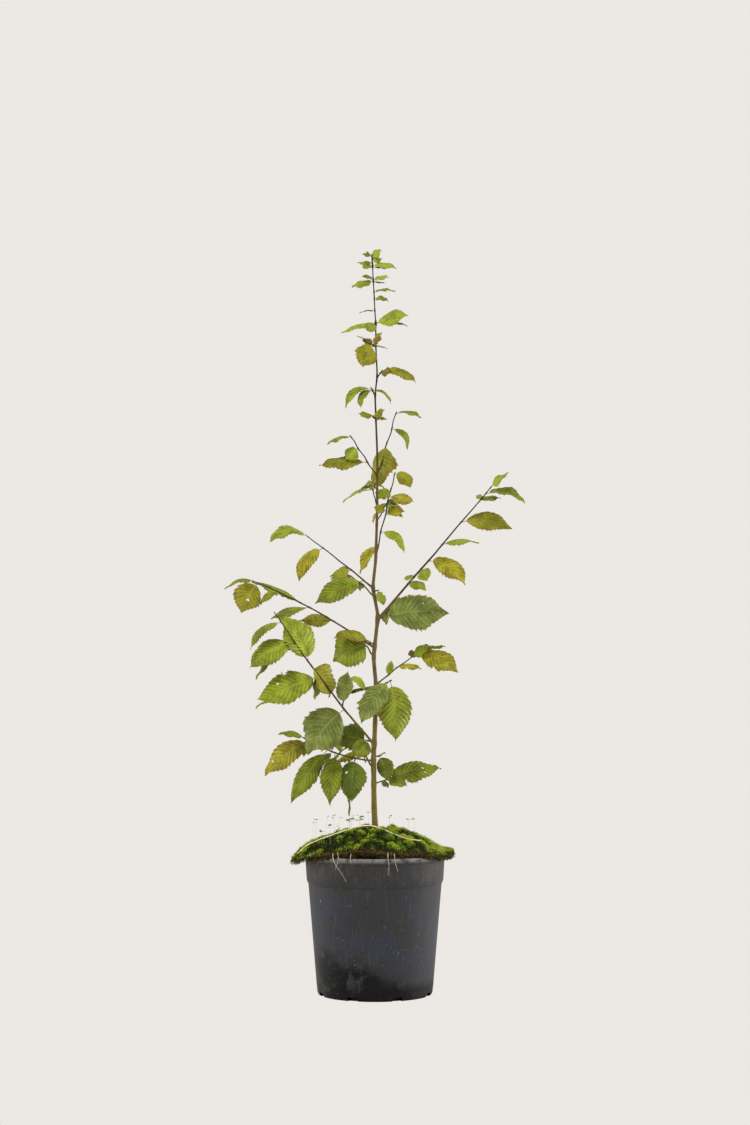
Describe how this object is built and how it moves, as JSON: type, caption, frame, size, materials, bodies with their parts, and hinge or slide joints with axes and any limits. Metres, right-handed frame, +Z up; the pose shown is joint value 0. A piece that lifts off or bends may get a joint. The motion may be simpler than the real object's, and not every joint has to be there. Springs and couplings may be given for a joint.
{
  "type": "potted european hornbeam",
  "caption": "Young hornbeam tree with a slim upright trunk, arching leafy shoots and serrated pleated leaves, standing in a round black nursery pot topped with moss.",
  "frame": {"origin": "middle of the flat underside of the pot, on the surface that it stands on", "axes": "+Z up, along the trunk; +X to the right and +Y away from someone who looks at the pictured side"},
  "size_m": [0.3871, 0.2196, 0.9753],
  "materials": {
    "pot_plastic": "worn recycled black plastic with scuffs, dust and water marks",
    "soil": "dark moist crumbly compost",
    "moss": "lumpy matt moss in fresh to deep green",
    "bark": "thin smooth bark, olive brown low down and grey brown higher up",
    "foliage": "pleated leaves, satin above and paler below, fresh to olive green with brown tints"
  },
  "bodies": {
    "root": {"pot": "pot_plastic", "soil": "soil", "moss": "moss", "trunk": "bark", "bough_right_long": "bark", "bough_right_small": "bark", "bough_left_high": "bark", "bough_left_long": "bark", "bough_left_low": "bark", "bough_left_lowest": "bark", "bough_upright": "bark", "bough_back_lowest": "bark", "bough_back_low": "bark", "bough_back_left": "bark", "bough_back_right": "bark", "bough_back_upper": "bark", "bough_back_high": "bark", "bough_back_highest": "bark", "leaves_right_long": "foliage", "leaves_right_broad_leaf": "foliage", "leaves_right_small": "foliage", "leaves_right_low": "foliage", "leaves_right_shaded": "foliage", "leaves_right_tiny": "foliage", "leaves_front": "foliage", "leaves_left_middle": "foliage", "leaves_left_high": "foliage", "leaves_left_long": "foliage", "leaves_left_low": "foliage", "leaves_left_shaded": "foliage", "leaves_left_lowest": "foliage", "leaves_left_tiny": "foliage", "leaves_upper_left": "foliage", "leaves_upper_right": "foliage", "leaves_upright": "foliage", "leaves_high_first": "foliage", "leaves_high_second": "foliage", "leaves_high_right": "foliage", "leaves_high_third": "foliage", "leaves_back_middle": "foliage", "leaves_back_lowest": "foliage", "leaves_back_low": "foliage", "leaves_back_left": "foliage", "leaves_back_right": "foliage", "leaves_back_upper": "foliage", "leaves_back_high": "foliage", "leaves_back_highest": "foliage", "leaves_leader": "foliage"}
  },
  "joints": []
}
